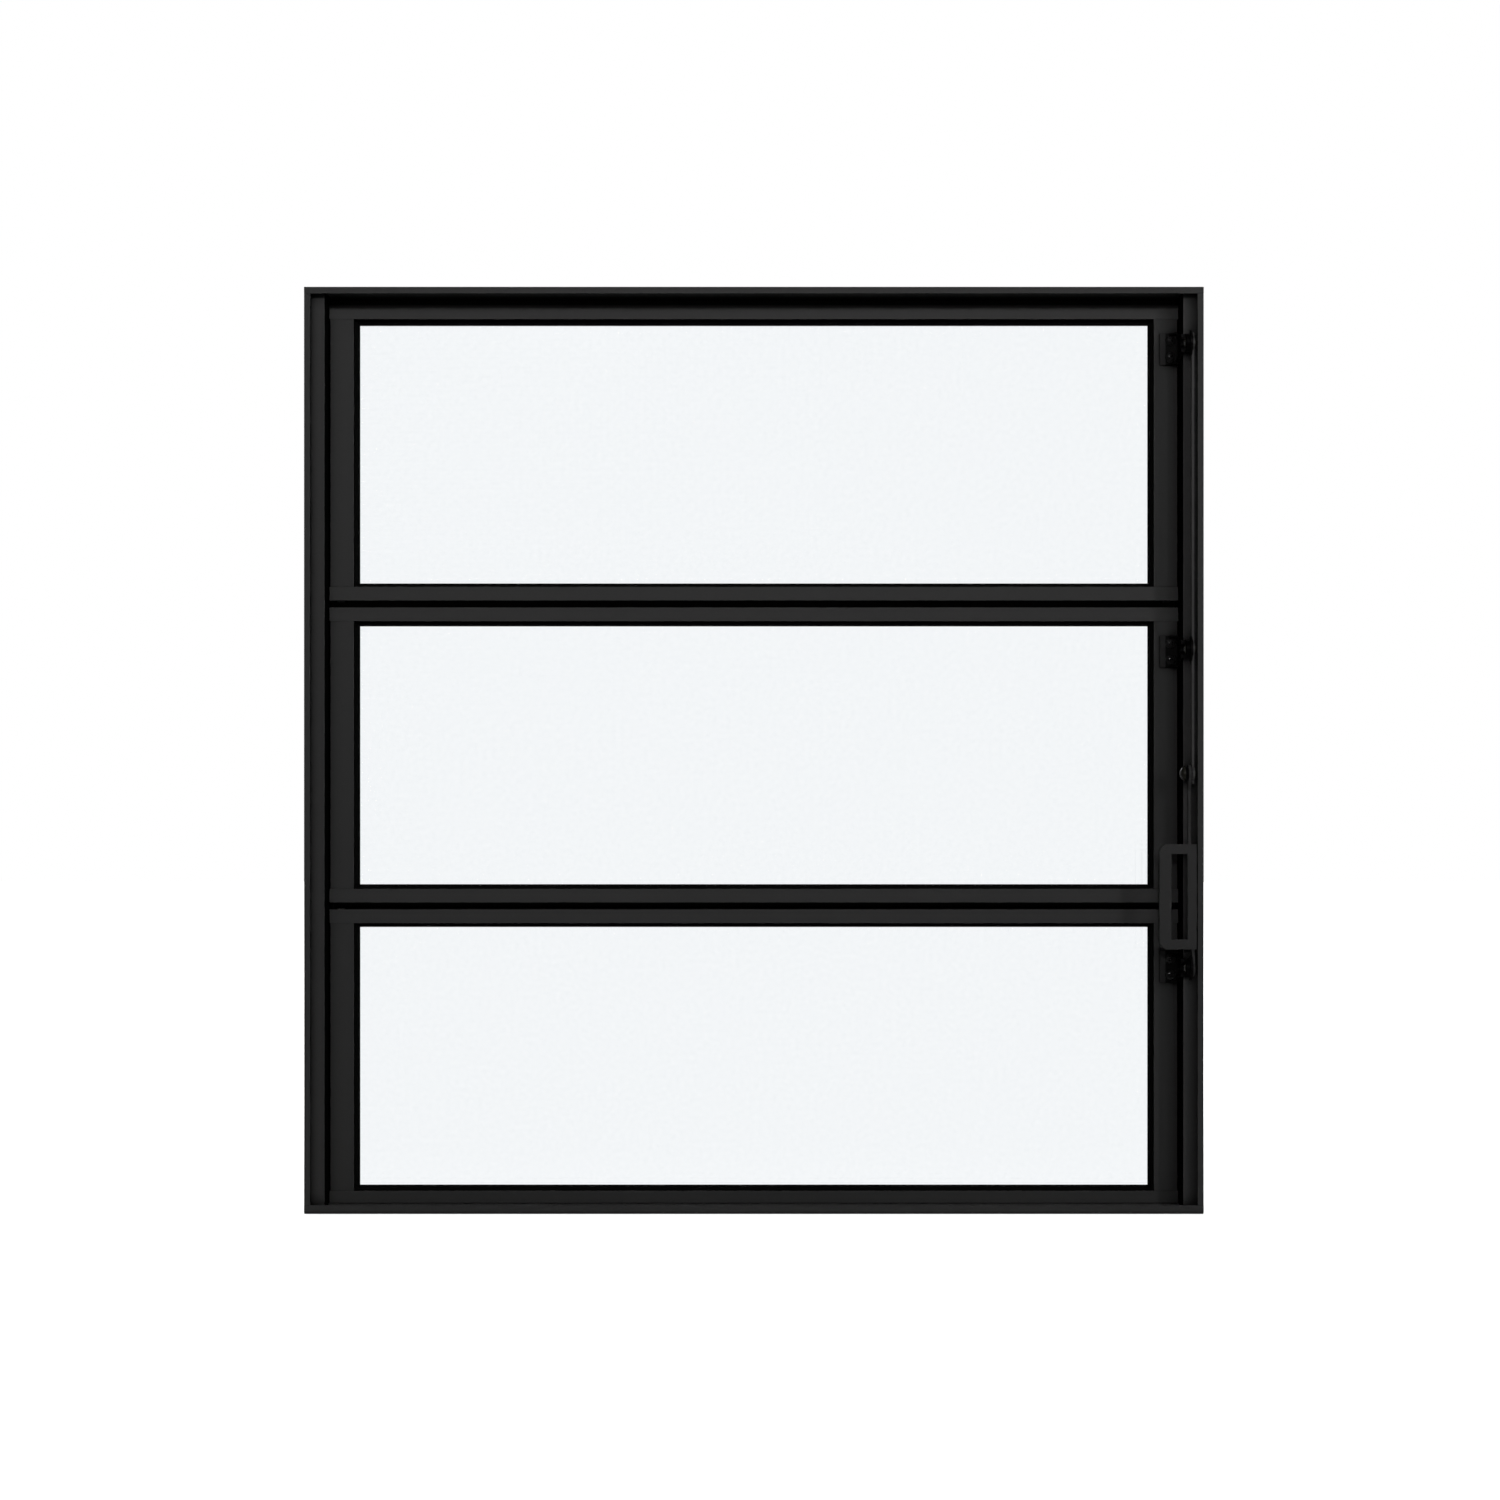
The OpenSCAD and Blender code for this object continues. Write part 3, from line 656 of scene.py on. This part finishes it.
ARM_CAP = 2.3 * MM
sunk_in = Matrix.Translation((0, 0, -ARM_CAP))
vane_screw = flat_screw(1.6 * MM, 2.85 * MM, 20 * MM)
arm_screw = pan_screw(1.9 * MM, 3.4 * MM, ARM_CAP, 9 * MM)
for n in VANES:
    body = f"vane_{n}"
    glass_low, glass_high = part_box(f"{body}_glass")
    half_way = (glass_low.z + glass_high.z) / 2
    mesh = gather([(vane_screw, m) for m in places(f"{body}_corner_screws", half_way)])
    piece = new_piece(f"{body}_screws", mesh, "steel", body, [f"{body}_corner_screws"], 30)
    mesh = gather([(arm_screw, m @ sunk_in) for m in places(f"{body}_arm_screws")])
    piece = new_piece(f"arm_screws_{n}", mesh, "black_screw", body, [f"{body}_arm_screws"], 30)


RIVET_SHANK = 1.6 * MM


def rivet_half(radius, thick):
    """Half section of a domed rivet head whose crown is at height 0."""
    crown = [(radius * r, thick * 0.92 * (1 - z)) for r, z in arc(1, 90, 0, 9)]
    return [(0, 0)] + crown[1:] + [(radius - 0.1 * MM, thick), (RIVET_SHANK, thick)]


def rivet(node, name, head_t):
    """Rivets along X: the factory head towards the window's middle, a low head at the other end."""
    parts = []
    for low, high in islands(node):
        length = high.x - low.x
        profile = rivet_half((high.z - low.z) / 2, head_t)
        closing = [(r, length - z) for r, z in reversed(rivet_half(3 * MM, 1.2 * MM))]
        turned = lathe(profile + closing, 28)
        mid = (low + high) / 2
        place = Matrix.Translation((low.x, mid.y, mid.z)) @ Matrix.Rotation(math.pi / 2, 4, "Y")
        parts.append((turned, place))
    piece = new_piece(name, gather(parts), "rivet", "link", [node], 30)
    return piece


rivet("arm_rivets", "rivets_arm", 1.2 * MM)
rivet("lever_rivet", "rivet_lever", 3.8 * MM)


# ---------------------------------------------------------------- stage, light and camera

# where the backdrop begins and is full, as the Y of a direction
BACKDROP = (-0.1, 0.5)
# how bright the room in front is: in mirrors, and as light
ROOM_MIRRORED = 0.1
ROOM_LIGHT = 0.08
# the floor's lift to white in the camera's view: near and far distance, strength at each
FLOOR_LIFT = (0.78, 1.6, 0.34, 0.75)


def stage_floor():
    """Pale floor: white to the camera and through the glass, with the window's own soft shadow."""
    bm = bmesh.new()
    bmesh.ops.create_grid(bm, x_segments=8, y_segments=8, size=9)
    mesh = bpy.data.meshes.new("floor")
    bm.to_mesh(mesh)
    bm.free()
    floor = bpy.data.objects.new("floor", mesh)
    floor.location.z = frame_low.z - 0.1 * MM
    bpy.context.scene.collection.objects.link(floor)
    n = Nodes("pale_floor")
    n.set(Base_Color=grey(0.9), Roughness=0.9, Specular_IOR_Level=0.0)
    speck = n.noise(700, 2.0)
    n.link(n.remap(speck, 0.85, 0.95), "Roughness")
    path = n.add("ShaderNodeLightPath")
    white = n.add("ShaderNodeEmission", {"Color": grey(1.0), "Strength": 1.0}).outputs[0]
    away = n.add("ShaderNodeVectorMath", {0: n.where}, operation="LENGTH").outputs["Value"]
    near, far, weak, strong = FLOOR_LIFT
    strength = n.remap(away, near, far, weak, strong)
    lift = n.add("ShaderNodeEmission", {"Color": grey(1.0), "Strength": strength}).outputs[0]
    soft = n.add("ShaderNodeAddShader", {0: n.shader.outputs[0], 1: lift}).outputs[0]
    dim = n.add("ShaderNodeEmission", {"Color": grey(1.0), "Strength": ROOM_MIRRORED}).outputs[0]
    depth = n.add("ShaderNodeSeparateXYZ", {0: n.where}).outputs["Y"]

    def mix(factor, first, second):
        return n.add("ShaderNodeMixShader", {0: factor, 1: first, 2: second}).outputs[0]

    mirrored = mix(n.remap(depth, 0.0, 1.0, -0.3, 0.3), dim, white)
    seen = mix(path.outputs["Is Camera Ray"], n.shader.outputs[0], soft)
    glossy = mix(path.outputs["Is Glossy Ray"], seen, mirrored)
    final = mix(path.outputs["Is Transmission Ray"], glossy, white)
    n.tree.links.new(final, n.tree.nodes["Material Output"].inputs["Surface"])
    floor.data.materials.append(n.material)


stage_floor()


def studio_world():
    """White backdrop behind the window, a dim room in front of it, and little light from either."""
    world = bpy.data.worlds.new("studio")
    world.use_nodes = True
    bpy.context.scene.world = world
    tree = world.node_tree

    def sky(strength, colour):
        node = tree.nodes.new("ShaderNodeBackground")
        node.inputs["Color"].default_value = colour
        node.inputs["Strength"].default_value = strength
        return node.outputs[0]

    def mix(factor, first, second):
        node = tree.nodes.new("ShaderNodeMixShader")
        for socket, value in zip(node.inputs, (factor, first, second)):
            tree.links.new(value, socket)
        return node.outputs[0]

    path = tree.nodes.new("ShaderNodeLightPath")
    either = tree.nodes.new("ShaderNodeMath")
    either.operation = "MAXIMUM"
    tree.links.new(path.outputs["Is Camera Ray"], either.inputs[0])
    tree.links.new(path.outputs["Is Transmission Ray"], either.inputs[1])
    where = tree.nodes.new("ShaderNodeTexCoord").outputs["Generated"]
    split = tree.nodes.new("ShaderNodeSeparateXYZ")
    tree.links.new(where, split.inputs[0])
    behind = tree.nodes.new("ShaderNodeMapRange")
    behind.interpolation_type = "SMOOTHSTEP"
    tree.links.new(split.outputs["Y"], behind.inputs["Value"])
    behind.inputs["From Min"].default_value = BACKDROP[0]
    behind.inputs["From Max"].default_value = BACKDROP[1]
    white = sky(1.0, grey(1.0))
    mirrored = mix(behind.outputs[0], sky(ROOM_MIRRORED, grey(1.0)), white)
    lit = mix(path.outputs["Is Glossy Ray"], sky(ROOM_LIGHT, (0.97, 0.985, 1.0, 1)), mirrored)
    tree.links.new(mix(either.outputs[0], lit, white), tree.nodes["World Output"].inputs["Surface"])


studio_world()

middle = (frame_low + frame_high) / 2


def lamp(name, side, height, distance, size, power, spread=180, above=0.0):
    """Square lamp, in degrees to the right of the front and degrees up as seen from the window's
    middle, aimed at a point that far above the middle."""
    light = bpy.data.lights.new(name, "AREA")
    light.shape = "RECTANGLE"
    light.size = light.size_y = size
    light.energy = power
    light.spread = math.radians(spread)
    holder = bpy.data.objects.new(name, light)
    a, e = math.radians(side), math.radians(height)
    away = Vector((math.sin(a) * math.cos(e), -math.cos(a) * math.cos(e), math.sin(e)))
    holder.location = middle + away * distance
    target = middle + Vector((0, 0, above))
    holder.rotation_euler = (target - holder.location).to_track_quat("-Z", "Y").to_euler()
    bpy.context.scene.collection.objects.link(holder)


# far narrow lamps aimed above the window light its top more than its bottom
BEAM = {"distance": 7, "spread": 36, "above": 0.9}
lamp("key", 26.7, 14, size=0.2, power=3.4, **BEAM)
lamp("second", 41.5, 14, size=0.5, power=8.7, **BEAM)
lamp("front", -4, 15.2, size=0.2, power=6.6, **BEAM)
lamp("fill", -25, 35, 3.4, 2.4, 5)
lamp("rear_left", -135, 30, 4.2, 0.8, 70)
lamp("rear_right", 150, 40, 4.2, 0.8, 40)

CAMERA_AWAY = 1.8
camera_data = bpy.data.cameras.new("camera")
camera_data.sensor_width = 36
camera_data.lens = 66.79
camera_data.shift_y = 0.0437
camera = bpy.data.objects.new("camera", camera_data)
camera.location = (-0.0025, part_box("head_profile")[0].y - CAMERA_AWAY, 0.258)
camera.rotation_euler = (math.pi / 2, 0, 0)
bpy.context.scene.collection.objects.link(camera)
bpy.context.scene.camera = camera

bpy.context.scene.view_settings.view_transform = "Standard"
